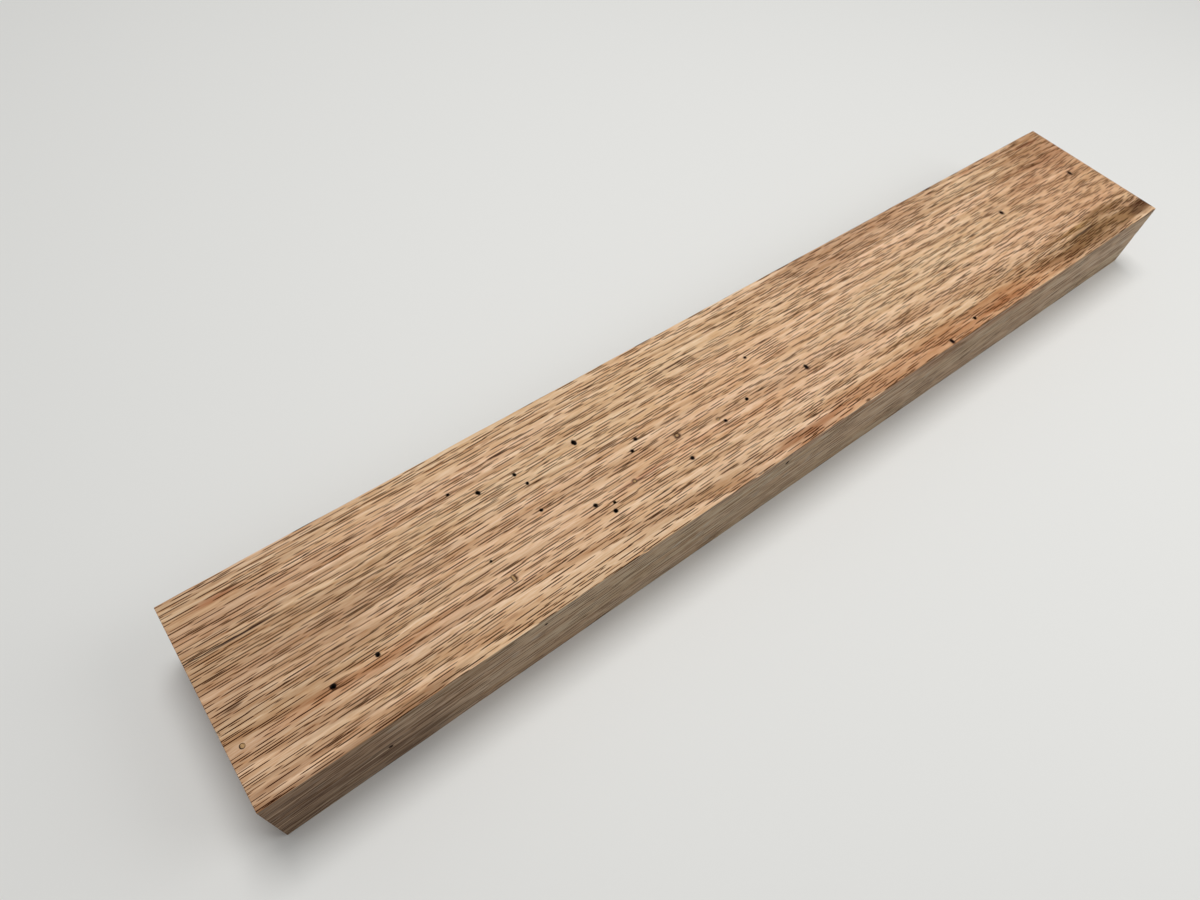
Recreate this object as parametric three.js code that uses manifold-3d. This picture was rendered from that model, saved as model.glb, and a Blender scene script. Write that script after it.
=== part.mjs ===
// An oak board: one length of red oak, sawn and planed on its four long faces and left unfinished,
// with the small holes that borers made in the wood before it was sawn.
// Millimetres, +Z up. The origin is on the underside, below the middle of the board.
// +X runs along the grain and +Y from the front long face to the back one.

import * as THREE from "three";
import { mergeVertices } from "three/addons/utils/BufferGeometryUtils.js";
import Module from "manifold-3d";

const wasm = await Module();
wasm.setup();

// Driving dimensions of the board
const LENGTH = 610;
const WIDTH = 97;
const THICKNESS = 45;
const ARRIS_RADIUS = 0.4; // long corners, just eased by handling
const END_CHAMFER = 0.25; // saw fuzz rubbed off round both ends

// Facets that stand for round shapes
const ARRIS_STEPS = 3;
const HOLE_SIDES = 12;
const SCOOP_SIDES = 10;
const SCOOP_RINGS = 6;

// Borer holes
const HOLE_DEPTH = { least: 4, most: 9 };
const HOLE_TIP = 0.6; // a tunnel's blind end tapers to a blunt point
const MOST_LEAN = THREE.MathUtils.degToRad(16); // a tunnel rarely enters square to the face
const CUT_OVERRUN = 1.5; // how far a cutting shape stands out of the wood

// Borer holes in the upper face: distance from the left end, distance from the back edge,
// width along the grain and breadth across it, as a rule laid on the board reads them
const TOP_HOLES = [
  [43, 71.3, 2.1, 2.1],
  [63, 69.9, 1.9, 1.9],
  [122.3, 61.5, 1.3, 1.3],
  [124.6, 22.2, 1.4, 1.4],
  [136.4, 29.1, 2, 2],
  [154.8, 53, 1.6, 1.6],
  [155.4, 30.4, 1.7, 1.7],
  [157.7, 37.6, 1.6, 1.6],
  [176.5, 65.2, 1.9, 1.9],
  [182.4, 72.8, 2.1, 2.1],
  [184.6, 69, 1.3, 1.3],
  [189, 31.5, 2.2, 3],
  [209.2, 51.3, 1.7, 1.7],
  [214.9, 46.8, 1.7, 1.7],
  [230.7, 70.9, 1.9, 1.9],
  [259.2, 63.5, 1.8, 1.8],
  [277.5, 59.6, 1.8, 1.8],
  [295.8, 38.6, 1.4, 1.4],
  [318.8, 61.7, 1.8, 3.2],
  [400.7, 94.9, 1.9, 2.8],
  [426, 90.9, 1.9, 1.9],
  [516.3, 42.5, 1.9, 2.5],
  [591.3, 43.2, 1.9, 2.9],
];

// Old holes packed level with dust, which has sunk a little
const PACKED_HOLES = [
  [5.7, 72, 2.4, 2.4],
  [125.8, 73.9, 1.8, 4.2],
  [199.5, 65.3, 2, 2],
  [233.1, 56.6, 2.2, 2.2],
  [256.8, 60.8, 1.8, 1.8],
];
const PACKED_DEPTH = 0.4;

// Borer holes in the front long face: distance from the left end, depth below the upper face
const FRONT_HOLES = [
  [49.9, 24.7, 1.9, 1.9],
  [126.6, 6, 1.6, 1.6],
  [272.6, 7.8, 2.2, 2.2],
];

// Faces that a borer left more thinly: number of holes, and the bare margin round them
const HIDDEN_HOLES = { under: 9, back: 5, right: 2, left: 1 };
const HIDDEN_MARGIN = 9;
const HIDDEN_WIDTH = { least: 1.2, most: 2.1 };
const REST_SPOT = 22; // clear wood round the middle of the underside

// Drying check in the upper face, which opens towards the left end
const CHECK_FROM_BACK = 30.2;
const CHECK_LENGTH = 40;
const CHECK_WIDTH = 0.6;
const CHECK_DEPTH = 3;
const CHECK_DRIFT = 1.1; // it follows the grain towards the front as it runs in

// Chips off the edges: place, and half-sizes of the scoop, along X, Y and Z
const LEFT_X = -LENGTH / 2;
const FRONT_Y = -WIDTH / 2;
const CHIPS = [
  { at: [LEFT_X + 181.2, FRONT_Y, THICKNESS], half: [2.6, 0.9, 1] },
  { at: [LEFT_X + 251.4, FRONT_Y, THICKNESS], half: [3.2, 1, 1.1] },
  { at: [LEFT_X + 469.4, FRONT_Y, THICKNESS], half: [4.4, 0.9, 0.9] },
  { at: [LEFT_X, WIDTH / 2 - 62.9, THICKNESS], half: [0.9, 1.1, 1] },
  { at: [-LEFT_X, FRONT_Y, 0.5 * THICKNESS], half: [1.1, 0.9, 2.6] },
];

// Seeded random numbers from 0 to 1, the same on every run
function seededRandom(seed) {
  let state = seed;
  return () => {
    state = (state * 1664525 + 1013904223) % 4294967296;
    return state / 4294967296;
  };
}

const random = seededRandom(1887);
const between = (least, most) => least + (most - least) * random();

// A closed three.js geometry as a solid that can be cut
function solidOf(geometry) {
  const bare = geometry.clone();
  bare.deleteAttribute("normal");
  bare.deleteAttribute("uv");
  const merged = mergeVertices(bare, 1e-4);
  return new wasm.Manifold(
    new wasm.Mesh({
      numProp: 3,
      vertProperties: merged.attributes.position.array,
      triVerts: new Uint32Array(merged.index.array),
    }),
  );
}

// A cut solid as a geometry with flat faces
function geometryOf(solid) {
  const mesh = solid.getMesh();
  const geometry = new THREE.BufferGeometry();
  geometry.setAttribute("position", new THREE.BufferAttribute(mesh.vertProperties, 3));
  geometry.setIndex(new THREE.BufferAttribute(mesh.triVerts, 1));
  const faceted = geometry.toNonIndexed();
  faceted.computeVertexNormals();
  return faceted;
}

// The planed blank: a rectangle with rounded corners, run out along the grain
function blank() {
  const y = WIDTH / 2 - ARRIS_RADIUS;
  const z = THICKNESS / 2 - ARRIS_RADIUS;
  const section = new THREE.Shape();
  section.absarc(y, z, ARRIS_RADIUS, 0, Math.PI / 2);
  section.absarc(-y, z, ARRIS_RADIUS, Math.PI / 2, Math.PI);
  section.absarc(-y, -z, ARRIS_RADIUS, Math.PI, 1.5 * Math.PI);
  section.absarc(y, -z, ARRIS_RADIUS, 1.5 * Math.PI, 2 * Math.PI);
  const run = new THREE.ExtrudeGeometry(section, {
    depth: LENGTH - 2 * END_CHAMFER,
    curveSegments: ARRIS_STEPS,
    bevelThickness: END_CHAMFER,
    bevelSize: END_CHAMFER,
    bevelOffset: -END_CHAMFER,
    bevelSegments: 1,
  });
  // The section's X, Y and run become the board's Y, Z and X
  const lay = new THREE.Matrix4().makeBasis(
    new THREE.Vector3(0, 1, 0),
    new THREE.Vector3(0, 0, 1),
    new THREE.Vector3(1, 0, 0),
  );
  lay.setPosition(-LENGTH / 2 + END_CHAMFER, 0, THICKNESS / 2);
  return run.applyMatrix4(lay);
}

// A face of the board as a frame: its X and Y lie in the face and its Z points out of the wood
function faceFrame(along, across, outward, middle) {
  const frame = new THREE.Matrix4().makeBasis(
    new THREE.Vector3(...along),
    new THREE.Vector3(...across),
    new THREE.Vector3(...outward),
  );
  return frame.setPosition(...middle);
}

const FACES = {
  top: faceFrame([1, 0, 0], [0, 1, 0], [0, 0, 1], [0, 0, THICKNESS]),
  under: faceFrame([1, 0, 0], [0, -1, 0], [0, 0, -1], [0, 0, 0]),
  front: faceFrame([1, 0, 0], [0, 0, 1], [0, -1, 0], [0, -WIDTH / 2, THICKNESS / 2]),
  back: faceFrame([-1, 0, 0], [0, 0, 1], [0, 1, 0], [0, WIDTH / 2, THICKNESS / 2]),
  left: faceFrame([0, -1, 0], [0, 0, 1], [-1, 0, 0], [-LENGTH / 2, 0, THICKNESS / 2]),
  right: faceFrame([0, 1, 0], [0, 0, 1], [1, 0, 0], [LENGTH / 2, 0, THICKNESS / 2]),
};

// The tunnel of one borer: a leaning blind bore of the given width and breadth
function tunnel(face, x, y, width, breadth, depth) {
  const profile = [
    new THREE.Vector2(0, -depth),
    new THREE.Vector2(0.5, -depth + HOLE_TIP),
    new THREE.Vector2(0.5, CUT_OVERRUN),
    new THREE.Vector2(0, CUT_OVERRUN),
  ];
  const bore = new THREE.LatheGeometry(profile, HOLE_SIDES);
  bore.rotateX(Math.PI / 2);
  bore.scale(width, breadth, 1);
  const lean = new THREE.Matrix4().makeRotationFromEuler(
    new THREE.Euler(between(-MOST_LEAN, MOST_LEAN), between(-MOST_LEAN, MOST_LEAN), 0),
  );
  bore.applyMatrix4(lean);
  bore.translate(x, y, 0);
  return solidOf(bore.applyMatrix4(FACES[face]));
}

// A shallow dish where packed dust has sunk below the face
function dish(face, x, y, width, breadth) {
  const bowl = new THREE.SphereGeometry(0.5, HOLE_SIDES, SCOOP_RINGS);
  bowl.scale(width, breadth, 2 * PACKED_DEPTH);
  bowl.translate(x, y, 0);
  return solidOf(bowl.applyMatrix4(FACES[face]));
}

// The drying check: a wedge that is widest at the left end and at the upper face
function checkWedge() {
  const outline = new THREE.Shape();
  outline.moveTo(-CUT_OVERRUN, -CHECK_WIDTH / 2);
  outline.lineTo(-CUT_OVERRUN, CHECK_WIDTH / 2);
  outline.lineTo(CHECK_LENGTH, -CHECK_DRIFT);
  const height = CHECK_DEPTH + CUT_OVERRUN;
  const wedge = new THREE.ExtrudeGeometry(outline, { depth: height, bevelEnabled: false });
  wedge.translate(LEFT_X, WIDTH / 2 - CHECK_FROM_BACK, THICKNESS - CHECK_DEPTH);
  return solidOf(wedge);
}

// A chip: an oval scoop centred on an edge
function chip({ at, half }) {
  const scoop = new THREE.SphereGeometry(1, SCOOP_SIDES, SCOOP_RINGS);
  scoop.scale(...half);
  scoop.translate(...at);
  return solidOf(scoop);
}

// Scattered holes in one of the faces that turn away, clear of its edges and of the rest spot
function hiddenHoles(face, count) {
  const isEnd = face === "left" || face === "right";
  const halfAlong = (isEnd ? WIDTH : LENGTH) / 2 - HIDDEN_MARGIN;
  const halfAcross = (face === "under" ? WIDTH : THICKNESS) / 2 - HIDDEN_MARGIN;
  const holes = [];
  while (holes.length < count) {
    const x = between(-halfAlong, halfAlong);
    const y = between(-halfAcross, halfAcross);
    const width = between(HIDDEN_WIDTH.least, HIDDEN_WIDTH.most);
    const depth = between(HOLE_DEPTH.least, HOLE_DEPTH.most);
    if (Math.hypot(x, y) > REST_SPOT || isEnd) {
      holes.push(tunnel(face, x, y, width, width, depth));
    }
  }
  return holes;
}

// Every cut in the board
function cuts() {
  const all = [];
  for (const [fromLeft, fromBack, width, breadth] of TOP_HOLES) {
    const depth = between(HOLE_DEPTH.least, HOLE_DEPTH.most);
    all.push(tunnel("top", LEFT_X + fromLeft, WIDTH / 2 - fromBack, width, breadth, depth));
  }
  for (const [fromLeft, fromBack, width, breadth] of PACKED_HOLES) {
    all.push(dish("top", LEFT_X + fromLeft, WIDTH / 2 - fromBack, width, breadth));
  }
  for (const [fromLeft, fromTop, width, breadth] of FRONT_HOLES) {
    const depth = between(HOLE_DEPTH.least, HOLE_DEPTH.most);
    all.push(tunnel("front", LEFT_X + fromLeft, THICKNESS / 2 - fromTop, width, breadth, depth));
  }
  for (const [face, count] of Object.entries(HIDDEN_HOLES)) {
    all.push(...hiddenHoles(face, count));
  }
  all.push(checkWedge());
  all.push(...CHIPS.map(chip));
  return all;
}

// Raw planed red oak: a warm tan with no gloss
function rawOak() {
  return new THREE.MeshStandardMaterial({ color: "#b99575", roughness: 0.75, metalness: 0 });
}

function board() {
  let solid = solidOf(blank());
  for (const cut of cuts()) {
    solid = solid.subtract(cut);
  }
  const mesh = new THREE.Mesh(geometryOf(solid), rawOak());
  mesh.name = "board";
  return mesh;
}

const part = new THREE.Group();
part.add(board());

export default part;
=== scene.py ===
import math

import bmesh
import bpy
from mathutils import Euler, Matrix, Vector, noise


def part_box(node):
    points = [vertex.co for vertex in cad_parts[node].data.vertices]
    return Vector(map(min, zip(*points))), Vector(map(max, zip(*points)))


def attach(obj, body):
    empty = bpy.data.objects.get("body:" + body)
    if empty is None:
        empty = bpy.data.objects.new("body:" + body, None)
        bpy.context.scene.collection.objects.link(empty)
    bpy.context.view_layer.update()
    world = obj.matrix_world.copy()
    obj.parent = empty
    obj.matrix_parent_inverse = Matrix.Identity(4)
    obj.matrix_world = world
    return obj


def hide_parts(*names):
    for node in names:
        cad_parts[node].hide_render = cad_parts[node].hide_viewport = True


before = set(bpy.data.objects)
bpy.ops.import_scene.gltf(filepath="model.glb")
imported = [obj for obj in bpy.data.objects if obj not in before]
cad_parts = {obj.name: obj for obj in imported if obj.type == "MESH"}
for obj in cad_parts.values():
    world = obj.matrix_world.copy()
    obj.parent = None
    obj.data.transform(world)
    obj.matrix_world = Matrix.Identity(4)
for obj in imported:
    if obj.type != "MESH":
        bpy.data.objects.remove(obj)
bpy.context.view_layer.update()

# Every size below is in millimetres, as on a rule laid on the board
MM = 0.001
LOW, HIGH = (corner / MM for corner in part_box("board"))
LENGTH, WIDTH, THICKNESS = HIGH - LOW
LEFT_X, FRONT_Y, BACK_Y = LOW.x, LOW.y, HIGH.y

# The planed blank
ARRIS = 0.4  # long corners as planed, before they wear
ARRIS_STEPS = 4
END_ARRIS = 0.25
SLICES = 122  # even, so that one cut falls in the middle
WEAR = 0.55  # share by which the arrises grow and shrink along the board
WEAR_RUN = 21  # length of one worn stretch
WEAR_LIMITS = (0.3, 2.2)  # least and most of an arris, in shares of the planed one
SMOOTH_BELOW = math.radians(32)  # faces that meet at less than this are shaded as one

# Borer holes in the upper face: distance from the left end, distance from the back edge,
# width along the grain and breadth across it
TOP_HOLES = [
    (43, 71.3, 2.1, 2.1),
    (63, 69.9, 1.9, 1.9),
    (122.3, 61.5, 1.3, 1.3),
    (124.6, 22.2, 1.4, 1.4),
    (136.4, 29.1, 2, 2),
    (154.8, 53, 1.6, 1.6),
    (155.4, 30.4, 1.7, 1.7),
    (157.7, 37.6, 1.6, 1.6),
    (176.5, 65.2, 1.9, 1.9),
    (182.4, 72.8, 2.1, 2.1),
    (184.6, 69, 1.3, 1.3),
    (189, 31.5, 2.2, 3),
    (209.2, 51.3, 1.7, 1.7),
    (214.9, 46.8, 1.7, 1.7),
    (230.7, 70.9, 1.9, 1.9),
    (259.2, 63.5, 1.8, 1.8),
    (277.5, 59.6, 1.8, 1.8),
    (295.8, 38.6, 1.4, 1.4),
    (318.8, 61.7, 1.8, 3.2),
    (400.7, 94.9, 1.9, 2.8),
    (426, 90.9, 1.9, 1.9),
    (516.3, 42.5, 1.9, 2.5),
    (591.3, 43.2, 1.9, 2.9),
]

# Old holes packed with dust, in the same terms
PACKED_HOLES = [
    (5.7, 72, 2.4, 2.4),
    (125.8, 73.9, 1.8, 4.2),
    (199.5, 65.3, 2, 2),
    (233.1, 56.6, 2.2, 2.2),
    (256.8, 60.8, 1.8, 1.8),
]
PACKED_DEPTH = 0.4
SHRUNK_TO = (0.2, 0.15, 0)  # the packing has drawn off to this side

# Borer holes in the front long face: distance from the left end, depth below the upper face
FRONT_HOLES = [
    (49.9, 24.7, 1.9, 1.9),
    (126.6, 6, 1.6, 1.6),
    (272.6, 7.8, 2.2, 2.2),
]

# Scattered holes in the faces that turn away
HIDDEN_HOLES = {"under": 9, "back": 5, "right": 2, "left": 1}
HIDDEN_MARGIN = 9
HIDDEN_WIDTH = (1.2, 2.1)
REST_SPOT = 22  # no hole lies nearer than this to the middle of a long face

# The shape of every hole
HOLE_DEPTH = (4, 9)
HOLE_SIDES = 28
MOST_LEAN = math.radians(16)
CUT_OVERRUN = 1.5  # how far a cutting shape stands out: for tunnels, in shares of their depth
MOUTH_FLARE = 1.12  # the mouth is a little wider than the tunnel, where fibres broke away
MOUTH_HEIGHT = 0.02  # of the flare, in shares of the tunnel's depth
FOOT_INSET = 0.18  # the foot tapers by this share of the tunnel's width on each side
FOOT_DEPTH = 0.09  # and reaches this share of its depth further

# The drying check in the upper face
CHECK_FROM_BACK = 30.2
CHECK_LENGTH = 40
CHECK_WIDTH = 0.6
CHECK_DEPTH = 3
CHECK_DRIFT = 1.1  # how far it has bent to the front at its tip
CHECK_WANDER = 0.45  # how far it swings from side to side, at the most
CHECK_BENDS = 24
CHECK_FOOT = 0.35  # width of the foot, in shares of the mouth's
CHECK_TIP = 1.02  # it closes just past its tip, which keeps some width
CHECK_TAPER = 0.6  # the power by which it narrows
CHECK_RISE = 0.8  # share of the depth that is lost at the tip

# Chips off the edges: place, and half-sizes of the scoop
CHIPS = [
    ((LEFT_X + 181.2, FRONT_Y, THICKNESS), (2.6, 0.9, 1)),
    ((LEFT_X + 251.4, FRONT_Y, THICKNESS), (3.2, 1, 1.1)),
    ((LEFT_X + 469.4, FRONT_Y, THICKNESS), (4.4, 0.9, 0.9)),
    ((LEFT_X, BACK_Y - 62.9, THICKNESS), (0.9, 1.1, 1)),
    ((-LEFT_X, FRONT_Y, 0.5 * THICKNESS), (1.1, 0.9, 2.6)),
]
CHIP_ROUGHNESS = 0.35  # in shares of the scoop's size
CHIP_GRIT = 0.9  # bumps to a millimetre

# The tree: the line of its pith beside and above the board, how that line climbs to the right
# and turns to the front, and the width of one year's ring
PITH_Y = -63
PITH_Z = 160
PITH_RISE = 0.04
GRAIN_TURN = math.radians(0.8)
RING = 2.65
MID_RADIUS = 130  # from the pith to the middle of the board
RING_SPREAD = 1.6  # in rings, how far they crowd together and draw apart
RING_SPREAD_RUN = 9

# How the grain leaves a straight line: a bow that grows towards the right end, and slow waves.
# Each has a reach across the board and down through it.
BOW = (0, -4, -2)
BOW_POWER = 4
WAVE = (0, 2.4, 3)
WAVE_RUN = 190
WAVE_BREADTH = 60

# Where a ring has its wide vessels, in shares of the year: all are there after the opening, and
# they thin out over the closing to what summer wood has
SPRING_OPENING = 0.07
SPRING_CLOSING = (0.25, 0.85)
SUMMER_SHARE = 0.1

# A vessel wanders in and out of any face that it runs along. On the wide faces it lies open for
# up to 18 mm at a time at the left end, and for down to 7 mm at the right end. On the edges that
# is 12 to 18 mm. Real vessels are 0.3 mm wide, too fine to show. They are drawn about 0.5 mm wide
# on the faces, 0.4 mm on the ends, and 0.7 mm on the edges, which the camera sees at a slant.
# Room is what each vessel has across and along, and half is half its width and a rounded end.
VESSELS_ON_FACE = {"room": (1.05, 13), "straight": 5.5, "half": (0.26, 2.8)}
VESSELS_ON_EDGE = {"room": (1.9, 19), "straight": 8, "half": (0.36, 4)}
VESSELS_ON_END = {"room": (0.8, 0.8), "straight": 0, "half": (0.22, 0.22)}
VESSEL_DIVE = 0.0005  # for each millimetre from the middle of the board
VESSEL_TURN = math.radians(31)  # of their rows, so that no two neighbours start side by side
VESSEL_SCATTER = 0.6  # how far they leave those rows
VESSEL_BORE = (0.65, 1.25)  # the narrowest and the widest, in shares of the width above
VESSEL_GIRTH = (0.85, 1.05)  # how wide they all are at the left end and at the right one
VESSEL_CROWD = (1, 0.8)  # share of them that show at the left end and at the right one
VESSEL_OPEN = (0.55, 1)  # share of them that show in summer wood and in spring wood
VESSEL_RIM = 0.25  # how far in a vessel reaches its full darkness, in shares of its half width
HALO_REACH = 0.7  # how far out the wood beside it is browned, in the same shares

# Rays are thin plates. Each has this much room round the ring, along the grain and outwards.
RAY_SPACING = 1.7
RAY_RUN = 15
RAY_DEPTH = 26
RAY_HALF = (0.1, 0.24)  # where a ray starts to fade and where it ends, in shares of that room
RAY_STRENGTH = 0.45

# How brown the spring wood of a ring is: in the palest ring and in the brownest, and the share
# of that which shows in the palest and in the brownest stretch of one ring
RING_STRENGTH = (0.2, 0.7)
RING_PATCH = (0.65, 1)

# Streaks of tone along the grain: run, and breadth across
FIBRE = (10, 0.4)
STREAK = (60, 3)
CLUMP = (45, 3)
CLOUD = (190, 15)

# Colours of bare red oak
OAK_PALE = "#f0d5b8"
OAK_TAN = "#deba95"
OAK_EARLY = "#a8784b"
OAK_RAY = "#94592f"
OAK_FLECK = "#d8c4ac"
VESSEL_HALO = "#e0bf97"
OAK_VESSEL = "#35190a"
FIBRE_SHADE = "#f0e2d2"
PINK_CAST = "#fff9f4"
OLIVE_CAST = "#fbfaf2"
# grey of the long edges as old sawn wood, made darker as painted shade of the side faces
EDGE_GREY_AND_SHADE = "#ccd4da"
END_GRAIN = "#cdbfb0"
EDGE_DUST = 0.1  # share by which dust pales the vessels of the edges

# Colours of the tunnels, of the dust packed in some, and of the gap beside it
TUNNEL_BLACK = "#1a110b"
TUNNEL_BROWN = "#3b281a"
DUST_TAN = "#9a7449"
DUST_PALE = "#c9a474"
DUST_GAP = "#38220f"
TUNNEL_MOTTLE = 1.7  # blotches to a millimetre
DUST_GRIT = 2.8
DULL = 0.9  # roughness of both

FLOOR_WHITE = "#e7e7e4"

# The planed surface: its roughness in summer wood and in spring wood, how much it shines, and its
# fine ridges of fibre, in shares of how deep an open vessel looks
ROUGHNESS = (0.62, 0.78)
SHINE = 0.35
FIBRE_RIDGE = 0.3
BUMP_DEPTH = 0.1
BUMP_STRENGTH = 0.25

# Stains, mineral streaks and painted shade: distance from the left end and from the back edge,
# depth below the upper face, half-sizes along, across and down, tint that multiplies the wood, and
# strength
STAINS_AND_SHADE = [
    # broad tones: a pale middle
    (280, 30, 0, 120, 32, 40, "#fffdfa", 1),
    # painted shade: the whole left end darker, darkest low on the left of the front face
    (0, 48, 20, 140, 90, 60, "#dfd7d0", 1),
    (0, 97, 10, 120, 18, 45, "#d9cfc4", 1),
    (0, 97, 40, 110, 8, 38, "#d6d3d0", 1),
    # darker towards the right end, along the front edge and at the back edge
    (610, 10, 0, 130, 30, 40, "#dccfc4", 1),
    (420, 2, 0, 130, 22, 20, "#dad0c6", 1),
    (610, 50, 0, 130, 50, 40, "#efe4da", 1),
    (380, 92, 0, 120, 14, 14, "#e6d3c0", 0.9),
    (455, 92, 0, 90, 16, 14, "#e8d8c6", 1),
    # the dark line that follows the drying check
    (25, 30.9, 0, 27, 0.6, 2, "#553a28", 0.9),
    # fine dark mineral lines along the grain
    (154, 16.6, 0, 20, 0.8, 2, "#5a4330", 1),
    (192, 19.3, 0, 17, 0.6, 2, "#6b5240", 0.85),
    (259.5, 20.9, 0, 20, 0.5, 2, "#7a604c", 0.8),
    (195.5, 42.3, 0, 16, 0.6, 2, "#6b5240", 0.85),
    (203, 65.7, 0, 17, 0.6, 2, "#63422c", 0.95),
    (317, 80.5, 0, 8, 0.5, 2, "#6b5240", 0.9),
    (412.5, 8.5, 0, 7, 0.6, 2, "#6b5240", 0.85),
    (308, 3.5, 0, 7, 0.5, 2, "#6b5240", 0.85),
    # reddish and orange patches
    (21, 10.5, 0, 16, 2, 5, "#d2a184", 0.7),
    (48, 73, 0, 50, 4, 6, "#efcfae", 0.5),
    (206, 65.5, 0, 26, 1.8, 4, "#c99b78", 0.6),
    (240, 66.5, 0, 60, 7, 8, "#efd0b4", 0.4),
    (290, 92.5, 0, 34, 6, 8, "#c6a78e", 0.6),
    (527, 3.5, 0, 16, 1.6, 5, "#c98f6b", 0.7),
    (596, 7.5, 0, 20, 2.4, 5, "#c98f6b", 0.7),
    (468, 91, 0, 36, 7, 8, "#d4ac7c", 0.6),
    # browned rims of holes
    (43, 71.3, 0, 2, 2, 2, "#8a6444", 1),
    (318.8, 61.7, 0, 2, 2.9, 2, "#7c4630", 1),
    (400.7, 94.9, 0, 2.2, 2.8, 2, "#7c5234", 1),
    (516.3, 42.5, 0, 2.3, 2.6, 2, "#6a4226", 1),
    (591.3, 43.2, 0, 2.3, 2.8, 2, "#6a4226", 1),
    (209.2, 51.3, 0, 1.6, 1.6, 2, "#6a4a34", 1),
    (214.9, 46.8, 0, 1.6, 1.6, 2, "#6a4a34", 1),
    (295.8, 38.6, 0, 1.4, 1.4, 2, "#6a4a34", 1),
    (199.5, 65.3, 0, 2, 2, 2, "#7a5230", 1),
    (233.1, 56.6, 0, 2.1, 2.1, 2, "#5f3f26", 1),
    (256.8, 60.8, 0, 1.9, 1.9, 2, "#4a2e1c", 1),
    (126.2, 73.9, 0, 1.8, 3, 2, "#6a4628", 1),
    (230.7, 70.9, 0, 2.4, 1.8, 2, "#9c5c3c", 0.9),
    # olive and grey mineral stain
    (9, 56.5, 0, 5, 1.6, 3, "#8d7a62", 0.8),
    (225, 89.5, 0, 80, 6, 8, "#dad6cd", 0.5),
    (546.5, 79, 0, 24, 3.4, 6, "#dccb8c", 0.7),
    (548.5, 83.2, 0, 24, 1.1, 4, "#6a5a3e", 0.85),
    (562, 87, 0, 75, 15, 14, "#a59470", 0.95),
    (603.5, 90.5, 0, 16, 10, 12, "#96805f", 0.75),
    (330, 96.3, 0, 2.6, 1.6, 2, "#7d6a4c", 1),
    # a scratch across the grain
    (476.5, 92, 0, 0.4, 5, 1, "#7a5138", 0.7),
]
# stains and patches of painted shade alike fray at the edge
STAIN_AND_SHADE_FRAY = 1.6  # how far the edge of a stain frays, in shares of its size

# The photograph's camera: place, turn and lens on a 36 mm wide frame
CAMERA_AT = (-259.34, -153.31, 365.77)
CAMERA_TURN = (34.221, -4.106, -37.388)
CAMERA_LENS = 24.362


def seeded_random(seed):
    """Numbers from 0 to 1, the same on every run."""
    state = seed
    while True:
        state = (state * 1664525 + 1013904223) % 4294967296
        yield state / 4294967296


draws = seeded_random(1887)


def between(least, most):
    """The next seeded number from least to most."""
    return least + (most - least) * next(draws)


def linear(code):
    """An sRGB hex colour as linear RGBA."""
    channels = [int(code[place : place + 2], 16) / 255 for place in (1, 3, 5)]
    return [c / 12.92 if c <= 0.04045 else ((c + 0.055) / 1.055) ** 2.4 for c in channels] + [1]


# Modelling


def pick(piece, kind, test):
    """In edit mode, selects only the elements of one kind that pass a test."""
    shape = bmesh.from_edit_mesh(piece.data)
    bpy.ops.mesh.select_all(action="DESELECT")
    for element in getattr(shape, kind):
        if test(element):
            element.select_set(True)
    bmesh.update_edit_mesh(piece.data)


def started(name):
    """The primitive that was just added, named, with its place in its mesh."""
    piece = bpy.context.active_object
    piece.name = piece.data.name = name
    bpy.ops.object.transform_apply(location=True, rotation=True, scale=True)
    return piece


def runs_along(edge, axis):
    """Whether an edge lies along one axis."""
    step = edge.verts[1].co - edge.verts[0].co
    return abs(step[axis]) > 0.99 * step.length


def planed_blank():
    """The blank: a block with small arrises, sliced across the grain."""
    bpy.ops.mesh.primitive_cube_add(
        size=MM,
        location=(0, 0, THICKNESS / 2 * MM),
        scale=(LENGTH, WIDTH, THICKNESS),
    )
    board = started("oak_board")
    bpy.ops.object.mode_set(mode="EDIT")
    pick(board, "edges", lambda edge: runs_along(edge, 0))
    bpy.ops.mesh.bevel(offset=ARRIS * MM, segments=ARRIS_STEPS, affect="EDGES")
    pick(board, "edges", lambda edge: not runs_along(edge, 0))
    bpy.ops.mesh.bevel(offset=END_ARRIS * MM, segments=2, affect="EDGES")
    inner = (LENGTH / 2 - 2 * END_ARRIS) * MM
    pick(board, "edges", lambda edge: edge.calc_length() > 1.5 * inner)
    bpy.ops.mesh.subdivide(number_cuts=SLICES - 1)
    bpy.ops.object.mode_set(mode="OBJECT")
    return board


def wear_arrises(board):
    """Makes the rounding of the long corners grow and shrink along the board."""
    for point in board.data.vertices:
        x, y, z = point.co / MM
        in_y = WIDTH / 2 - abs(y)
        in_z = min(z, THICKNESS - z)
        if max(in_y, in_z) > 1.01 * ARRIS:
            continue
        # Each long corner has a line of the noise to itself
        corner = Vector((x / WEAR_RUN, 7 * math.copysign(1, y), 3 * math.copysign(1, z - ARRIS)))
        grown = 1 + 2 * WEAR * noise.noise(corner) + WEAR * noise.noise(7.3 * corner)
        grown = min(max(grown, WEAR_LIMITS[0]), WEAR_LIMITS[1])
        point.co.y = math.copysign(WIDTH / 2 - grown * in_y, y) * MM
        point.co.z = (grown * in_z if z < THICKNESS / 2 else THICKNESS - grown * in_z) * MM


def face_frame(along, across, outward, middle):
    """A face of the board as a matrix: X and Y lie in the face and Z points out of the wood."""
    columns = zip(along, across, outward, middle)
    return Matrix([*map(list, columns), [0, 0, 0, 1]])


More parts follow.
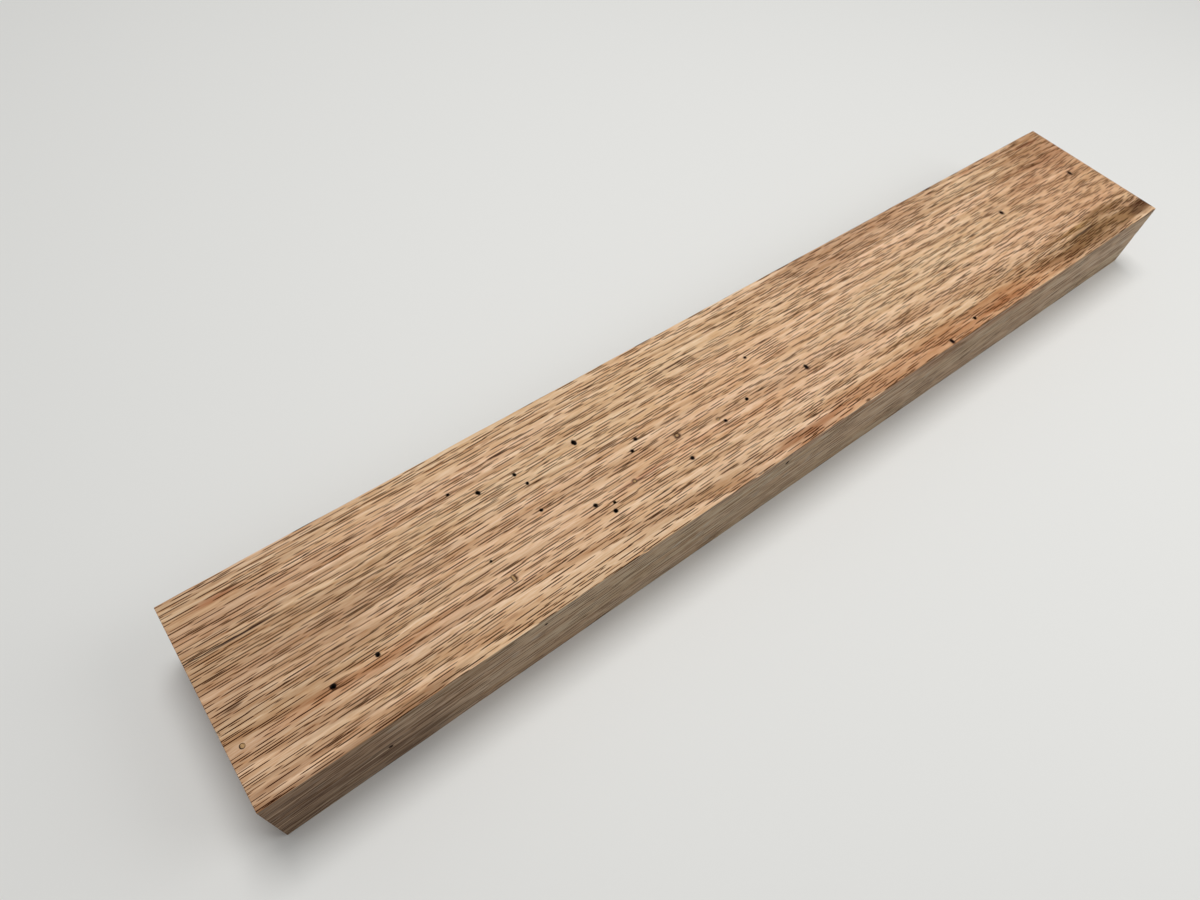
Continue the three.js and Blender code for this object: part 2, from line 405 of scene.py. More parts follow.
FACES = {
    "top": face_frame((1, 0, 0), (0, 1, 0), (0, 0, 1), (0, 0, THICKNESS)),
    "under": face_frame((1, 0, 0), (0, -1, 0), (0, 0, -1), (0, 0, 0)),
    "front": face_frame((1, 0, 0), (0, 0, 1), (0, -1, 0), (0, FRONT_Y, THICKNESS / 2)),
    "back": face_frame((-1, 0, 0), (0, 0, 1), (0, 1, 0), (0, BACK_Y, THICKNESS / 2)),
    "left": face_frame((0, -1, 0), (0, 0, 1), (-1, 0, 0), (LEFT_X, 0, THICKNESS / 2)),
    "right": face_frame((0, 1, 0), (0, 0, 1), (1, 0, 0), (-LEFT_X, 0, THICKNESS / 2)),
}


# Bake map: each side of the board is a strip, in one or two rows of equal length. A strip has its
# rows, its left and lower corner in pixels, and its pixels to a millimetre along and across.
MAP_NAME = "OFBake"
MAP_PIXELS = 1024
MAP_GAP = 6
MAP_STRIPS = {
    "top": (2, 10, 4, 2.95, 3.0),
    "front": (2, 10, 598, 2.95, 2.15),
    "back": (1, 4, 806, 1.66, 1.9),
    "under": (1, 4, 898, 1.66, 1.25),
    "left": (1, 914, 4, 2.3, 2.95),
    "right": (1, 914, 302, 2.3, 2.95),
}


def facing(face):
    """The side of the board that a face looks out of."""
    normal = face.normal
    outward = {"top": normal.z, "under": -normal.z, "front": -normal.y, "back": normal.y}
    outward |= {"left": -normal.x, "right": normal.x}
    return max(outward, key=outward.get)


def map_row(side, x):
    """The row of a side's strip that holds a spot x from the middle."""
    return 1 if MAP_STRIPS[side][0] == 2 and x > 0 else 0


def map_spot(side, row, x, y):
    """Where a spot, in millimetres from the middle of a side, lies on the bake map."""
    rows, left, low, along, across = MAP_STRIPS[side]
    half_length = LENGTH / 2
    half_breadth = (WIDTH if side in ("top", "under") else THICKNESS) / 2
    if side in ("left", "right"):
        x, y = y, x
        half_length, half_breadth = THICKNESS / 2, WIDTH / 2
    start = 0 if row else half_length
    u = left + (x + start) * along
    v = low + row * (2 * half_breadth * across + MAP_GAP) + (y + half_breadth) * across
    return u / MAP_PIXELS, v / MAP_PIXELS


def lay_out(piece, side_of):
    """Gives a piece the bake map, with each face pressed flat on the side that it belongs to."""
    layer = piece.data.uv_layers[0]
    layer.name = MAP_NAME
    for face in piece.data.polygons:
        side = side_of(face)
        inwards = FACES[side].inverted()
        row = map_row(side, (inwards @ (face.center / MM)).x)
        for corner in face.loop_indices:
            point = piece.data.vertices[piece.data.loops[corner].vertex_index].co / MM
            x, y, _ = inwards @ point
            layer.data[corner].uv = map_spot(side, row, x, y)


def tunnel_pattern():
    """One borer's tunnel, 1 mm wide and 1 mm deep below the origin, with a flared mouth."""
    bpy.ops.mesh.primitive_cylinder_add(
        vertices=HOLE_SIDES, radius=0.5, depth=1, location=(0, 0, -0.5), end_fill_type="NGON"
    )
    pattern = started("tunnel_pattern")
    bpy.ops.object.mode_set(mode="EDIT")
    pick(pattern, "faces", lambda face: face.normal.z > 0.9)
    bpy.ops.mesh.extrude_region_move(TRANSFORM_OT_translate={"value": (0, 0, MOUTH_HEIGHT)})
    bpy.ops.transform.resize(value=(MOUTH_FLARE, MOUTH_FLARE, 1), center_override=(0, 0, 0))
    bpy.ops.mesh.extrude_region_move(TRANSFORM_OT_translate={"value": (0, 0, CUT_OVERRUN)})
    pick(pattern, "faces", lambda face: face.normal.z < -0.9)
    bpy.ops.mesh.inset(thickness=FOOT_INSET, depth=FOOT_DEPTH)
    bpy.ops.object.mode_set(mode="OBJECT")
    return pattern


def copy_of(pattern, name, place):
    """A copy with its own mesh, with a matrix in millimetres worked into it."""
    piece = bpy.data.objects.new(name, pattern.data.copy())
    bpy.context.collection.objects.link(piece)
    piece.data.transform(Matrix.Scale(MM, 4) @ place)
    return piece


def tunnel(pattern, side, x, y, width, breadth, depth):
    """A leaning tunnel in one side of the board."""
    lean = Euler((between(-MOST_LEAN, MOST_LEAN), between(-MOST_LEAN, MOST_LEAN), 0))
    size = Matrix.Diagonal((width, breadth, depth, 1))
    place = FACES[side] @ Matrix.Translation((x, y, 0)) @ lean.to_matrix().to_4x4() @ size
    piece = copy_of(pattern, "tunnel", place)
    row = map_row(side, x)
    layer = piece.data.uv_layers[0]
    layer.name = MAP_NAME
    for corner, loop in zip(layer.data, pattern.data.loops):
        spot = pattern.data.vertices[loop.vertex_index].co
        # On the map, the wall lies inside its mouth, and the deeper the further in
        shrunk = 0.9 + 0.8 * min(spot.z, 0)
        corner.uv = map_spot(side, row, x + shrunk * width * spot.x, y + shrunk * breadth * spot.y)
    return piece


def tunnels(pattern):
    """Every open borer hole."""
    found = []
    for from_left, from_back, width, breadth in TOP_HOLES:
        depth = between(*HOLE_DEPTH)
        spot = (LEFT_X + from_left, BACK_Y - from_back)
        found.append(tunnel(pattern, "top", *spot, width, breadth, depth))
    for from_left, from_top, width, breadth in FRONT_HOLES:
        depth = between(*HOLE_DEPTH)
        spot = (LEFT_X + from_left, THICKNESS / 2 - from_top)
        found.append(tunnel(pattern, "front", *spot, width, breadth, depth))
    for face, count in HIDDEN_HOLES.items():
        found += hidden_tunnels(pattern, face, count)
    return found


def hidden_tunnels(pattern, face, count):
    """Scattered holes in one face, clear of its edges and of the rest spot."""
    is_end = face in ("left", "right")
    half_along = (WIDTH if is_end else LENGTH) / 2 - HIDDEN_MARGIN
    half_across = (WIDTH if face == "under" else THICKNESS) / 2 - HIDDEN_MARGIN
    found = []
    while len(found) < count:
        x = between(-half_along, half_along)
        y = between(-half_across, half_across)
        width = between(*HIDDEN_WIDTH)
        depth = between(*HOLE_DEPTH)
        if math.hypot(x, y) > REST_SPOT or is_end:
            found.append(tunnel(pattern, face, x, y, width, width, depth))
    return found


def dish(from_left, from_back, width, breadth):
    """The shallow bowl that packed dust leaves in the upper face."""
    bpy.ops.mesh.primitive_uv_sphere_add(
        segments=HOLE_SIDES,
        ring_count=12,
        radius=MM,
        location=((LEFT_X + from_left) * MM, (BACK_Y - from_back) * MM, THICKNESS * MM),
        scale=(width / 2, breadth / 2, PACKED_DEPTH),
    )
    bowl = started("dish")
    lay_out(bowl, lambda face: "top")
    return bowl


def check_blade():
    """The drying check: a thin wedge that wanders along the grain and closes as it runs in."""
    bpy.ops.mesh.primitive_cube_add(
        size=MM,
        location=(
            (LEFT_X + (CHECK_LENGTH - CUT_OVERRUN) / 2) * MM,
            (BACK_Y - CHECK_FROM_BACK) * MM,
            (THICKNESS + (CUT_OVERRUN - CHECK_DEPTH) / 2) * MM,
        ),
        scale=(CHECK_LENGTH + CUT_OVERRUN, CHECK_WIDTH, CHECK_DEPTH + CUT_OVERRUN),
    )
    blade = started("check_blade")
    bpy.ops.object.mode_set(mode="EDIT")
    pick(blade, "edges", lambda edge: runs_along(edge, 0))
    bpy.ops.mesh.subdivide(number_cuts=CHECK_BENDS)
    bpy.ops.object.mode_set(mode="OBJECT")
    middle = BACK_Y - CHECK_FROM_BACK
    for point in blade.data.vertices:
        run = max((point.co.x / MM - LEFT_X) / CHECK_LENGTH, 0)
        is_foot = point.co.z < (THICKNESS - CHECK_DEPTH / 2) * MM
        openness = (CHECK_TIP - run) ** CHECK_TAPER * (CHECK_FOOT if is_foot else 1)
        wander = CHECK_WANDER * noise.noise(Vector((7 * run, 0.4, 0))) - CHECK_DRIFT * run**2
        point.co.y = (middle + (point.co.y / MM - middle) * openness + wander) * MM
        if is_foot:
            point.co.z += CHECK_DEPTH * CHECK_RISE * run * MM
    lay_out(blade, lambda face: "top")
    return blade


def chip(place, half):
    """A rough scoop out of an edge."""
    bpy.ops.mesh.primitive_ico_sphere_add(
        subdivisions=3, radius=MM, location=Vector(place) * MM, scale=half
    )
    scoop = started("chip")
    for point in scoop.data.vertices:
        out = point.co - Vector(place) * MM
        point.co += CHIP_ROUGHNESS * noise.noise(point.co / MM * CHIP_GRIT) * out
    side = "top" if place[2] == THICKNESS else "front"
    lay_out(scoop, lambda face: side)
    return scoop


def joined(pieces, material):
    """Several cutting shapes as one, wearing the material that they leave behind."""
    bpy.ops.object.select_all(action="DESELECT")
    for piece in pieces:
        piece.select_set(True)
    bpy.context.view_layer.objects.active = pieces[0]
    if len(pieces) > 1:
        bpy.ops.object.join()
    pieces[0].data.materials.clear()
    pieces[0].data.materials.append(material)
    return pieces[0]


def cut(board, cutter):
    """Cuts one shape out of the board for good."""
    boolean = board.modifiers.new("cut", "BOOLEAN")
    boolean.operation = "DIFFERENCE"
    boolean.solver = "MANIFOLD"
    boolean.material_mode = "TRANSFER"
    boolean.object = cutter
    bpy.context.view_layer.objects.active = board
    bpy.ops.object.modifier_apply(modifier="cut")
    bpy.data.objects.remove(cutter)


def clean_cuts(board):
    """Splits the many-cornered faces that the cuts left, and shades whatever is round as round."""
    bpy.ops.object.select_all(action="DESELECT")
    board.select_set(True)
    bpy.context.view_layer.objects.active = board
    bpy.ops.object.mode_set(mode="EDIT")
    pick(board, "faces", lambda face: len(face.verts) > 4)
    bpy.ops.mesh.quads_convert_to_tris(quad_method="BEAUTY", ngon_method="BEAUTY")
    bpy.ops.object.mode_set(mode="OBJECT")
    bpy.ops.object.shade_smooth_by_angle(angle=SMOOTH_BELOW)
    for face in board.data.polygons:
        if max(map(abs, face.normal)) > 0.99999:
            face.use_smooth = False


# Materials


# Sockets of a mix of colours, and of numbers
FACTOR, FROM, TO = 0, 6, 7
FROM_NUMBER, TO_NUMBER = 2, 3

# Settings that many nodes share
COLOUR_MIX = {"data_type": "RGBA"}
TINT = {"data_type": "RGBA", "blend_type": "MULTIPLY"}
EASED = {"interpolation_type": "SMOOTHSTEP"}


def put(tree, kind, settings, inputs):
    """Adds one node with its settings, and fills its sockets with values or with other nodes."""
    node = tree.nodes.new("ShaderNode" + kind)
    for name, value in settings.items():
        setattr(node, name, value)
    for name, value in inputs.items():
        if isinstance(value, bpy.types.Node):
            value = next(socket for socket in value.outputs if socket.enabled)
        if isinstance(value, bpy.types.NodeSocket):
            tree.links.new(value, node.inputs[name])
        else:
            node.inputs[name].default_value = value
    return node


def from_to(ends):
    """The two ends of what a map of a range gives."""
    return {"To Min": ends[0], "To Max": ends[1]}


def new_material(name):
    """A material with no nodes yet."""
    material = bpy.data.materials.new(name)
    material.use_nodes = True
    material.node_tree.nodes.clear()
    return material, material.node_tree


def finish_material(tree, shader):
    """Makes a shader the look of the surface."""
    put(tree, "OutputMaterial", {}, {"Surface": shader})


def board_space(tree):
    """Where a point of the wood lies in the board, in millimetres."""
    metres = put(tree, "TexCoord", {}, {}).outputs["Object"]
    return put(tree, "VectorMath", {"operation": "SCALE"}, {0: metres, "Scale": 1 / MM})


def stem_space(tree, place):
    """Where a point lies in the stem that the board was sawn from: Z up the pith, X and Y across.

    The grain of the stem swings in slow waves, and bows towards the right end."""
    pitch = (1 / WAVE_RUN, 1 / WAVE_BREADTH, 1 / WAVE_BREADTH)
    spread = put(tree, "VectorMath", {"operation": "MULTIPLY"}, {0: place, 1: pitch})
    noisy = put(tree, "TexNoise", {}, {"Vector": spread, "Scale": 1, "Detail": 1})
    waves = put(
        tree,
        "VectorMath",
        {"operation": "SUBTRACT"},
        {0: noisy.outputs["Color"], 1: (0.5, 0.5, 0.5)},
    )
    swung = put(
        tree, "VectorMath", {"operation": "MULTIPLY_ADD"}, {0: waves, 1: WAVE, 2: place}
    )
    along = put(tree, "SeparateXYZ", {}, {0: place}).outputs["X"]
    share = put(tree, "MapRange", {}, {"Value": along, "From Min": LEFT_X, "From Max": -LEFT_X})
    bowed = put(tree, "Math", {"operation": "POWER"}, {0: share, 1: BOW_POWER})
    straight = put(
        tree, "VectorMath", {"operation": "MULTIPLY_ADD"}, {0: bowed, 1: BOW, 2: swung}
    )
    turn = (0, math.pi / 2 - math.atan(PITH_RISE), GRAIN_TURN)
    return put(
        tree,
        "Mapping",
        {"vector_type": "TEXTURE"},
        {"Vector": straight, "Location": (0, PITH_Y, PITH_Z), "Rotation": turn},
    )


def year_rings(tree, stem):
    """Distance from the pith, how far into its year's ring a point is, and that ring's own tone."""
    across = put(tree, "VectorMath", {"operation": "MULTIPLY"}, {0: stem, 1: (1, 1, 0)})
    radius = put(tree, "VectorMath", {"operation": "LENGTH"}, {0: across})
    slow = put(tree, "Math", {"operation": "DIVIDE"}, {0: radius, 1: RING_SPREAD_RUN})
    uneven = put(
        tree, "TexNoise", {"noise_dimensions": "1D"}, {"W": slow, "Scale": 1, "Detail": 1}
    )
    years = put(tree, "Math", {"operation": "DIVIDE"}, {0: radius, 1: RING})
    count = put(
        tree, "Math", {"operation": "MULTIPLY_ADD"}, {0: uneven, 1: RING_SPREAD, 2: years}
    )
    season = put(tree, "Math", {"operation": "FRACT"}, {0: count})
    year = put(tree, "Math", {"operation": "FLOOR"}, {0: count})
    tone = put(tree, "TexWhiteNoise", {"noise_dimensions": "1D"}, {"W": year})
    return radius, season, tone


def spring_wood(tree, season):
    """Where a ring has its wide vessels: all at once in spring, then fewer."""
    opening = put(tree, "MapRange", EASED, {"Value": season, "From Max": SPRING_OPENING})
    start, end = SPRING_CLOSING
    closing = put(
        tree,
        "MapRange",
        EASED,
        {"Value": season, "From Min": start, "From Max": end, "To Min": 1, "To Max": SUMMER_SHARE},
    )
    return put(tree, "Math", {"operation": "MULTIPLY"}, {0: opening, 1: closing})


def cut_vessels(tree, across, along, cut, share_open, girth):
    """How deep a point is in a vessel, in shares of its bore, or below zero outside of one.

    It is drawn flat, as one kind of face cuts them: across and along are its two directions."""
    flat = put(tree, "CombineXYZ", {}, {"X": across, "Y": along})
    room = (*cut["room"], 1)
    spread = put(tree, "VectorMath", {"operation": "DIVIDE"}, {0: flat, 1: room})
    about = {"rotation_type": "Z_AXIS"}
    turned = put(tree, "VectorRotate", about, {"Vector": spread, "Angle": VESSEL_TURN})
    cells = put(
        tree,
        "TexVoronoi",
        {"voronoi_dimensions": "2D"},
        {"Vector": turned, "Scale": 1, "Randomness": VESSEL_SCATTER},
    )
    middle = put(
        tree, "VectorRotate", about, {"Vector": cells.outputs["Position"], "Angle": -VESSEL_TURN}
    )
    middle = put(tree, "VectorMath", {"operation": "MULTIPLY"}, {0: middle, 1: room})
    off = put(tree, "VectorMath", {"operation": "SUBTRACT"}, {0: flat, 1: middle})
    off = put(tree, "VectorMath", {"operation": "ABSOLUTE"}, {0: off})
    off = put(
        tree, "VectorMath", {"operation": "SUBTRACT"}, {0: off, 1: (0, cut["straight"] / 2, 0)}
    )
    off = put(tree, "VectorMath", {"operation": "MAXIMUM"}, {0: off, 1: (0, 0, 0)})
    off = put(tree, "VectorMath", {"operation": "DIVIDE"}, {0: off, 1: (*cut["half"], 1)})
    distance = put(tree, "VectorMath", {"operation": "LENGTH"}, {0: off})
    chance = put(tree, "SeparateColor", {}, {0: cells.outputs["Color"]})
    is_open = put(
        tree, "Math", {"operation": "GREATER_THAN"}, {0: share_open, 1: chance.outputs["Red"]}
    )
    bore = put(tree, "MapRange", {}, {"Value": chance.outputs["Green"]} | from_to(VESSEL_BORE))
    reach = put(tree, "Math", {"operation": "MULTIPLY"}, {0: bore, 1: is_open})
    reach = put(tree, "Math", {"operation": "MULTIPLY"}, {0: reach, 1: girth})
    return put(tree, "Math", {"operation": "SUBTRACT"}, {0: reach, 1: distance})


def vessels(tree, stem, spring, on_edge, on_end):
    """The open vessels: dashes on the faces and the edges, and pores on the ends."""
    parts = put(tree, "SeparateXYZ", {}, {0: stem}).outputs
    # They grow fewer and wider from the left end to the right one
    run = {"Value": parts["Z"], "From Min": LEFT_X, "From Max": -LEFT_X}
    girth = put(tree, "MapRange", {}, run | from_to(VESSEL_GIRTH))
    share_open = put(tree, "MapRange", {}, {"Value": spring} | from_to(VESSEL_OPEN))
    crowd = put(tree, "MapRange", {}, run | from_to(VESSEL_CROWD))
    share_open = put(tree, "Math", {"operation": "MULTIPLY"}, {0: share_open, 1: crowd})
    # They shorten to the right, where the grain dives into the face more steeply
    dive = put(tree, "Math", {"operation": "MULTIPLY"}, {0: parts["Z"], 1: VESSEL_DIVE})
    along = put(
        tree, "Math", {"operation": "MULTIPLY_ADD"}, {0: dive, 1: parts["Z"], 2: parts["Z"]}
    )
    on_face = cut_vessels(tree, parts["Y"], along, VESSELS_ON_FACE, share_open, girth)
    edge = cut_vessels(tree, parts["X"], parts["Z"], VESSELS_ON_EDGE, share_open, girth)
    end = cut_vessels(tree, parts["X"], parts["Y"], VESSELS_ON_END, share_open, girth)
    depth = put(tree, "Mix", {}, {FACTOR: on_edge, FROM_NUMBER: on_face, TO_NUMBER: edge})
    return put(tree, "Mix", {}, {FACTOR: on_end, FROM_NUMBER: depth, TO_NUMBER: end})


def rays(tree, stem, radius):
    """The flat rays out from the pith: thin lines on the wide faces, broad fleck on the edges."""
    parts = put(tree, "SeparateXYZ", {}, {0: stem})
    angle = put(
        tree, "Math", {"operation": "ARCTAN2"}, {0: parts.outputs["Y"], 1: parts.outputs["X"]}
    )
    girth = put(tree, "Math", {"operation": "MULTIPLY"}, {0: angle, 1: MID_RADIUS / RAY_SPACING})
    run = put(tree, "Math", {"operation": "DIVIDE"}, {0: parts.outputs["Z"], 1: RAY_RUN})
    out = put(tree, "Math", {"operation": "DIVIDE"}, {0: radius, 1: RAY_DEPTH})
    cells = put(tree, "CombineXYZ", {}, {"X": girth, "Y": run, "Z": out})
    plates = put(tree, "TexVoronoi", {}, {"Vector": cells, "Scale": 1})
    fade, end = RAY_HALF
    return put(
        tree,
        "MapRange",
        EASED,
        {"Value": plates, "From Min": fade, "From Max": end, "To Min": 1, "To Max": 0},
    )


def streaks(tree, stem, size, detail):
    """Tone drawn out along the grain, from 0 to 1 about a half."""
    run, breadth = size
    pitch = (1 / breadth, 1 / breadth, 1 / run)
    spread = put(tree, "VectorMath", {"operation": "MULTIPLY"}, {0: stem, 1: pitch})
    return put(tree, "TexNoise", {}, {"Vector": spread, "Scale": 1, "Detail": detail})


def faces_along(tree, axis):
    """How squarely the surface faces along one axis of the board, either way."""
    normal = put(tree, "TexCoord", {}, {}).outputs["Normal"]
    part = put(tree, "SeparateXYZ", {}, {0: normal}).outputs[axis]
    size = put(tree, "Math", {"operation": "ABSOLUTE"}, {0: part})
    return put(tree, "MapRange", EASED, {"Value": size, "From Min": 0.5, "From Max": 0.85})


def stain_and_shade_spot():
    """A node group that tints one oval patch whose edge frays along the grain."""
    group = bpy.data.node_groups.new("stain_and_shade_spot", "ShaderNodeTree")
    kinds = {"Wood": "Color", "Place": "Vector", "Middle": "Vector", "Size": "Vector"}
    kinds |= {"Fray": "Float", "Tint": "Color", "Strength": "Float"}
    for name, kind in kinds.items():
        group.interface.new_socket(name, in_out="INPUT", socket_type="NodeSocket" + kind)
    group.interface.new_socket("Wood", in_out="OUTPUT", socket_type="NodeSocketColor")
    given = group.nodes.new("NodeGroupInput").outputs
    off = put(
        group, "VectorMath", {"operation": "SUBTRACT"}, {0: given["Place"], 1: given["Middle"]}
    )
    scaled = put(group, "VectorMath", {"operation": "DIVIDE"}, {0: off, 1: given["Size"]})
    distance = put(group, "VectorMath", {"operation": "LENGTH"}, {0: scaled})
    frayed = put(group, "Math", {"operation": "ADD"}, {0: distance, 1: given["Fray"]})
    patch = put(
        group, "MapRange", EASED, {"Value": frayed, "From Min": 0.25, "To Min": 1, "To Max": 0}
    )
    factor = put(group, "Math", {"operation": "MULTIPLY"}, {0: patch, 1: given["Strength"]})
    tinted = put(group, "Mix", TINT, {FACTOR: factor, FROM: given["Wood"], TO: given["Tint"]})
    group.links.new(tinted.outputs["Result"], group.nodes.new("NodeGroupOutput").inputs[0])
    return group


def stained_and_shaded(tree, wood, place, tone):
    """The wood with every mark of the list on it, the patches of painted shade among them."""
    group = stain_and_shade_spot()
    fray = put(
        tree,
        "Math",
        {"operation": "MULTIPLY_ADD"},
        {0: tone, 1: STAIN_AND_SHADE_FRAY, 2: -STAIN_AND_SHADE_FRAY / 2},
    )
    for x, y, depth, along, across, down, tint, strength in STAINS_AND_SHADE:
        wood = put(
            tree,
            "Group",
            {"node_tree": group},
            {
                "Wood": wood,
                "Place": place,
                "Middle": (LEFT_X + x, BACK_Y - y, THICKNESS - depth),
                "Size": (along, across, down),
                "Fray": fray,
                "Tint": linear(tint),
                "Strength": strength,
            },
        )
    return wood


def planed_red_oak():
    """Red oak, planed and left bare.

    It is matt, with no varnish to shine, and dark dashes of open vessels run along it in rows."""
    material, tree = new_material("planed_red_oak")
    place = board_space(tree)
    on_edge = faces_along(tree, "Y")
    on_end = faces_along(tree, "X")
    stem = stem_space(tree, place)
    radius, season, ring_tone = year_rings(tree, stem)
    spring = spring_wood(tree, season)
    depth = vessels(tree, stem, spring, on_edge, on_end)
    pores = put(tree, "MapRange", EASED, {"Value": depth, "From Max": VESSEL_RIM})
    beside = put(tree, "MapRange", EASED, {"Value": depth, "From Min": -HALO_REACH})
    ray = rays(tree, stem, radius)
    fibre = streaks(tree, stem, FIBRE, 2)
    streak = streaks(tree, stem, STREAK, 3)
    clump = streaks(tree, stem, CLUMP, 1)
    cloud = streaks(tree, stem, CLOUD, 1)

    # Ground colour: pale to tan in streaks, and pink to olive in wide clouds
    light = put(tree, "MapRange", EASED, {"Value": streak, "From Min": 0.25, "From Max": 0.72})
    wood = put(
        tree, "Mix", COLOUR_MIX, {FACTOR: light, FROM: linear(OAK_TAN), TO: linear(OAK_PALE)}
    )
    cast = put(tree, "MapRange", EASED, {"Value": cloud, "From Min": 0.35, "From Max": 0.65})
    cast = put(
        tree, "Mix", COLOUR_MIX, {FACTOR: cast, FROM: linear(PINK_CAST), TO: linear(OLIVE_CAST)}
    )
    wood = put(tree, "Mix", TINT, {FACTOR: 1, FROM: wood, TO: cast})

    # The spring wood of each ring is browner, in some rings more than in others
    ring_strength = put(tree, "MapRange", {}, {"Value": ring_tone} | from_to(RING_STRENGTH))
    ringed = put(tree, "Math", {"operation": "MULTIPLY"}, {0: spring, 1: ring_strength})
    patch = put(
        tree,
        "MapRange",
        EASED,
        {"Value": clump, "From Min": 0.35, "From Max": 0.65} | from_to(RING_PATCH),
    )
    ringed = put(tree, "Math", {"operation": "MULTIPLY"}, {0: ringed, 1: patch})
    wood = put(tree, "Mix", COLOUR_MIX, {FACTOR: ringed, FROM: wood, TO: linear(OAK_EARLY)})
    shade = put(tree, "MapRange", EASED, {"Value": fibre, "From Min": 0.58, "From Max": 0.34})
    wood = put(tree, "Mix", TINT, {FACTOR: shade, FROM: wood, TO: linear(FIBRE_SHADE)})

    # Rays are dark as lines on the wide faces, and pale as fleck on the edges
    ray_colour = put(
        tree, "Mix", COLOUR_MIX, {FACTOR: on_edge, FROM: linear(OAK_RAY), TO: linear(OAK_FLECK)}
    )
    ray_strength = put(tree, "Math", {"operation": "MULTIPLY"}, {0: ray, 1: RAY_STRENGTH})
    wood = put(tree, "Mix", COLOUR_MIX, {FACTOR: ray_strength, FROM: wood, TO: ray_colour})
    wood = stained_and_shaded(tree, wood, place, clump)

    # Vessels are dark hollows, in wood that they have browned. On the edges, dust pales them.
    wood = put(tree, "Mix", TINT, {FACTOR: beside, FROM: wood, TO: linear(VESSEL_HALO)})
    dusty = put(tree, "Math", {"operation": "MULTIPLY"}, {0: on_edge, 1: -EDGE_DUST})
    pores = put(tree, "Math", {"operation": "MULTIPLY_ADD"}, {0: dusty, 1: pores, 2: pores})
    wood = put(tree, "Mix", COLOUR_MIX, {FACTOR: pores, FROM: wood, TO: linear(OAK_VESSEL)})

    # The edges were sawn long before the faces were planed and have greyed. The ends drink light.
    # The grey tint is partly painted shade: it darkens the long edges, which the light reaches
    # less.
    wood = put(tree, "Mix", TINT, {FACTOR: on_edge, FROM: wood, TO: linear(EDGE_GREY_AND_SHADE)})
    wood = put(tree, "Mix", TINT, {FACTOR: on_end, FROM: wood, TO: linear(END_GRAIN)})

    ridge = put(tree, "Math", {"operation": "MULTIPLY"}, {0: fibre, 1: FIBRE_RIDGE})
    height = put(tree, "Math", {"operation": "SUBTRACT"}, {0: ridge, 1: pores})
    bump = put(
        tree,
        "Bump",
        {},
        {"Strength": BUMP_STRENGTH, "Distance": BUMP_DEPTH * MM, "Height": height},
    )
    roughness = put(tree, "MapRange", {}, {"Value": spring} | from_to(ROUGHNESS))
    # An open vessel is a hollow, and gives back no shine
    shine = put(tree, "MapRange", {}, {"Value": pores} | from_to((SHINE, 0)))
    shader = put(
        tree,
        "BsdfPrincipled",
        {},
        {
            "Base Color": wood,
            "Roughness": roughness,
            "IOR": 1.5,
            "Specular IOR Level": shine,
            "Normal": bump,
        },
    )
    finish_material(tree, shader)
    return material


def borer_tunnel():
    """The wall of a borer's tunnel: chewed wood, near black with the stain of the fungus that lived
    there.

    It is dull all over, so that a hole reads as a black dot."""
    material, tree = new_material("borer_tunnel")
    place = board_space(tree)
    mottle = put(tree, "TexNoise", {}, {"Vector": place, "Scale": TUNNEL_MOTTLE, "Detail": 2})
    light = put(tree, "MapRange", EASED, {"Value": mottle, "From Min": 0.35, "From Max": 0.7})
    ends = {FROM: linear(TUNNEL_BLACK), TO: linear(TUNNEL_BROWN)}
    wall = put(tree, "Mix", COLOUR_MIX, {FACTOR: light} | ends)
    shader = put(tree, "BsdfPrincipled", {}, {"Base Color": wall, "Roughness": DULL, "IOR": 1.5})
    finish_material(tree, shader)
    return material


def packed_dust():
    """Borer dust packed in an old hole: crumbs that are paler than the wood.

    It has shrunk away from one side of the hole, which leaves a dark crescent."""
    material, tree = new_material("packed_dust")
    place = board_space(tree)
    grit = put(tree, "TexNoise", {}, {"Vector": place, "Scale": DUST_GRIT, "Detail": 3})
    light = put(tree, "MapRange", EASED, {"Value": grit, "From Min": 0.35, "From Max": 0.65})
    dust = put(
        tree, "Mix", COLOUR_MIX, {FACTOR: light, FROM: linear(DUST_TAN), TO: linear(DUST_PALE)}
    )
    normal = put(tree, "TexCoord", {}, {}).outputs["Normal"]
    lean = put(tree, "VectorMath", {"operation": "DOT_PRODUCT"}, {0: normal, 1: SHRUNK_TO})
    level = put(tree, "SeparateXYZ", {}, {0: normal}).outputs["Z"]
    steep = put(tree, "Math", {"operation": "SUBTRACT"}, {0: lean.outputs["Value"], 1: level})
    gap = put(tree, "MapRange", EASED, {"Value": steep, "From Min": -0.97, "From Max": -0.88})
    dust = put(tree, "Mix", COLOUR_MIX, {FACTOR: gap, FROM: dust, TO: linear(DUST_GAP)})
    shader = put(tree, "BsdfPrincipled", {}, {"Base Color": dust, "Roughness": DULL, "IOR": 1.5})
    finish_material(tree, shader)
    return material


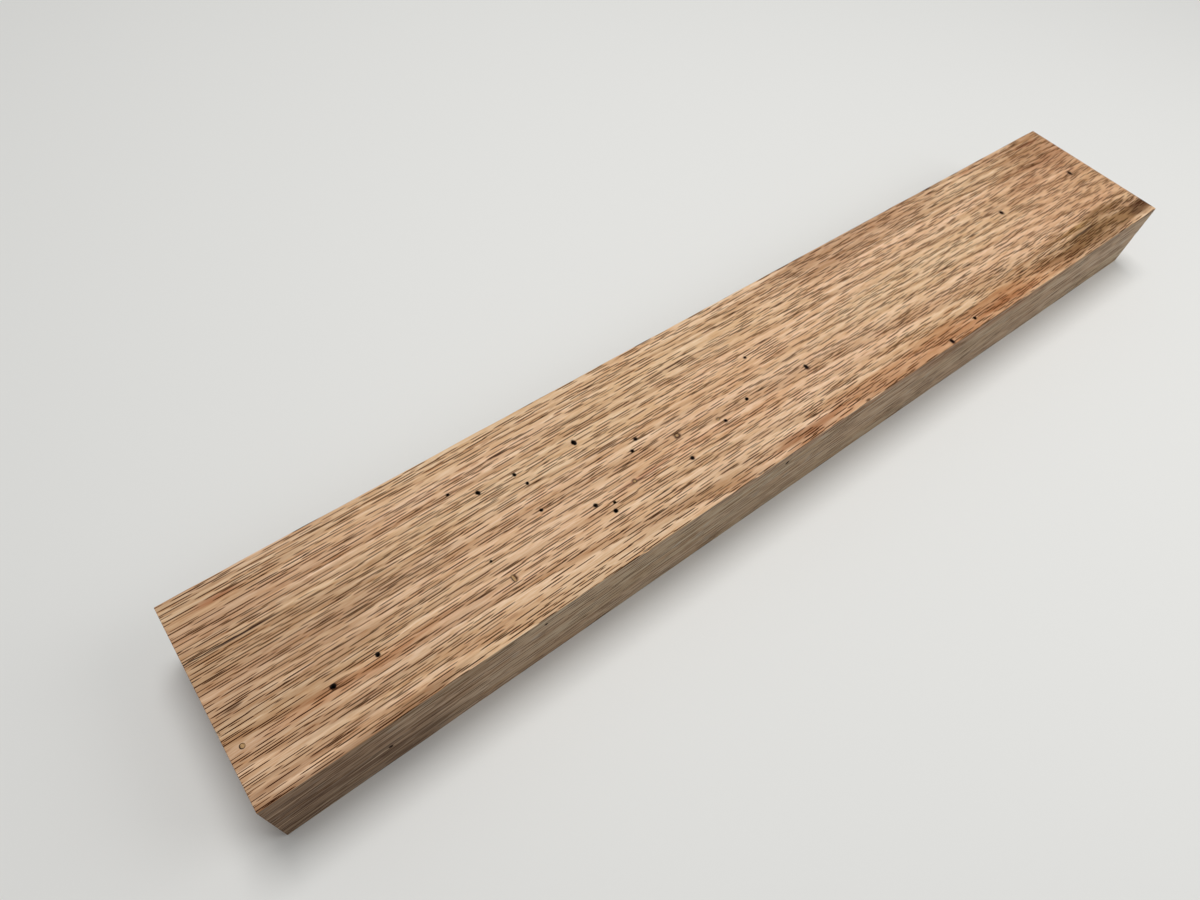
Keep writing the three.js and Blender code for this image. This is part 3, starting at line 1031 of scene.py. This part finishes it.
def build_board():
    """The board, cut, mapped and shaded."""
    oak, wall, dust = planed_red_oak(), borer_tunnel(), packed_dust()
    board = planed_blank()
    board.data.materials.append(oak)
    wear_arrises(board)
    lay_out(board, facing)
    pattern = tunnel_pattern()
    holes = tunnels(pattern)
    bpy.data.objects.remove(pattern)
    cut(board, joined(holes, wall))
    cut(board, joined([dish(*hole) for hole in PACKED_HOLES], dust))
    cut(board, joined([chip(*scoop) for scoop in CHIPS], oak))
    cut(board, joined([check_blade()], wall))
    clean_cuts(board)
    return board


def floor():
    """A plain matt floor, nearly white."""
    bpy.ops.mesh.primitive_plane_add(size=6, location=(0, 0, 0))
    sheet = started("floor")
    material, tree = new_material("floor_paper")
    shader = put(tree, "BsdfPrincipled", {}, {"Base Color": linear(FLOOR_WHITE), "Roughness": 0.6})
    finish_material(tree, shader)
    sheet.data.materials.append(material)


def softbox(name, place, size, power):
    """A square area light that faces the board."""
    data = bpy.data.lights.new(name, "AREA")
    data.size = size
    data.energy = power
    lamp = bpy.data.objects.new(name, data)
    lamp.location = place
    lamp.rotation_euler = (-lamp.location).to_track_quat("-Z", "Y").to_euler()
    bpy.context.collection.objects.link(lamp)


def lights():
    """A soft key overhead, a fill from the front right, and an even pale surround."""
    softbox("key", (0.1, 0.36, 1.6), 0.7, 14.8)
    softbox("fill", (0.65, -0.5, 0.8), 0.7, 3)
    world = bpy.data.worlds.new("studio")
    bpy.context.scene.world = world
    world.use_nodes = True
    surround = world.node_tree.nodes["Background"].inputs
    surround["Color"].default_value = linear("#ffffff")
    surround["Strength"].default_value = 0.3


def camera():
    """A camera that stands where the photograph was taken."""
    data = bpy.data.cameras.new("camera")
    data.sensor_width = 36
    data.lens = CAMERA_LENS
    eye = bpy.data.objects.new("camera", data)
    eye.location = Vector(CAMERA_AT) * MM
    eye.rotation_euler = [math.radians(angle) for angle in CAMERA_TURN]
    bpy.context.collection.objects.link(eye)
    bpy.context.scene.camera = eye


bpy.ops.object.select_all(action="DESELECT")
camera()
board = build_board()
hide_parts("board")
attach(board, "root")
floor()
lights()
bpy.context.scene.view_settings.view_transform = "Standard"
